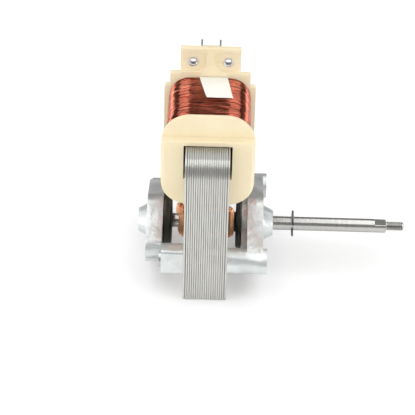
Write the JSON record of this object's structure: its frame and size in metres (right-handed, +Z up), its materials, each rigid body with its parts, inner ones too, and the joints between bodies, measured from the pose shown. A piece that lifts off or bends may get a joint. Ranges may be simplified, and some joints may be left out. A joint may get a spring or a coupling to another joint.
{
  "type": "oven fan motor",
  "caption": "Shaded-pole fan motor with an upright laminated U core, a coil on a plastic bobbin, cast bearing brackets and a long threaded shaft.",
  "frame": {"origin": "where the shaft axis crosses the plane of the output bracket's mounting feet", "axes": "+X along the shaft towards its threaded end, +Y from the flange's ledge towards the terminals, +Z up, towards the coil"},
  "size_m": [0.1161, 0.0682, 0.0954],
  "materials": {
    "core_steel": "rolled sheet edges, satin",
    "bobbin_plastic": "moulded cream plastic",
    "enamelled_wire": "glossy red-brown enamel",
    "tape": "matt white tape",
    "tinned_brass": "tinned",
    "copper": "bare copper",
    "cast_aluminium": "as cast",
    "sintered_bronze": "sintered, oiled",
    "felt": "oil felt",
    "black_sheet": "black satin",
    "screw_steel": "zinc plated",
    "rotor_steel": "turned sheet stack",
    "black_plastic": "moulded",
    "shaft_steel": "ground",
    "spring_steel": "dark spring steel"
  },
  "bodies": {
    "stator": {"stator_core": "core_steel", "coil_core": "core_steel", "bobbin": "bobbin_plastic", "winding": "enamelled_wire", "winding_tape": "tape", "terminal_left": "tinned_brass", "terminal_right": "tinned_brass", "eyelet_left": "tinned_brass", "eyelet_right": "tinned_brass", "shading_ring_front": "copper", "shading_ring_back": "copper", "output_bracket": "cast_aluminium", "rear_bracket": "cast_aluminium", "output_bearing": "sintered_bronze", "rear_bearing": "sintered_bronze", "output_felt": "felt", "rear_felt": "felt", "output_cap": "black_sheet", "rear_cap": "black_sheet", "through_screws": "screw_steel"},
    "rotor": {"rotor_core": "rotor_steel", "rotor_cage": "cast_aluminium", "output_collar": "black_plastic", "rear_collar": "black_plastic", "thrust_washers": "tinned_brass", "shaft": "shaft_steel", "retaining_clip": "spring_steel"}
  },
  "joints": [
    {"name": "rotor_spin", "type": "hinge", "parent": "stator", "child": "rotor", "pos_m": [0, 0, 0], "axis": [1, 0, 0], "continuous": true}
  ]
}
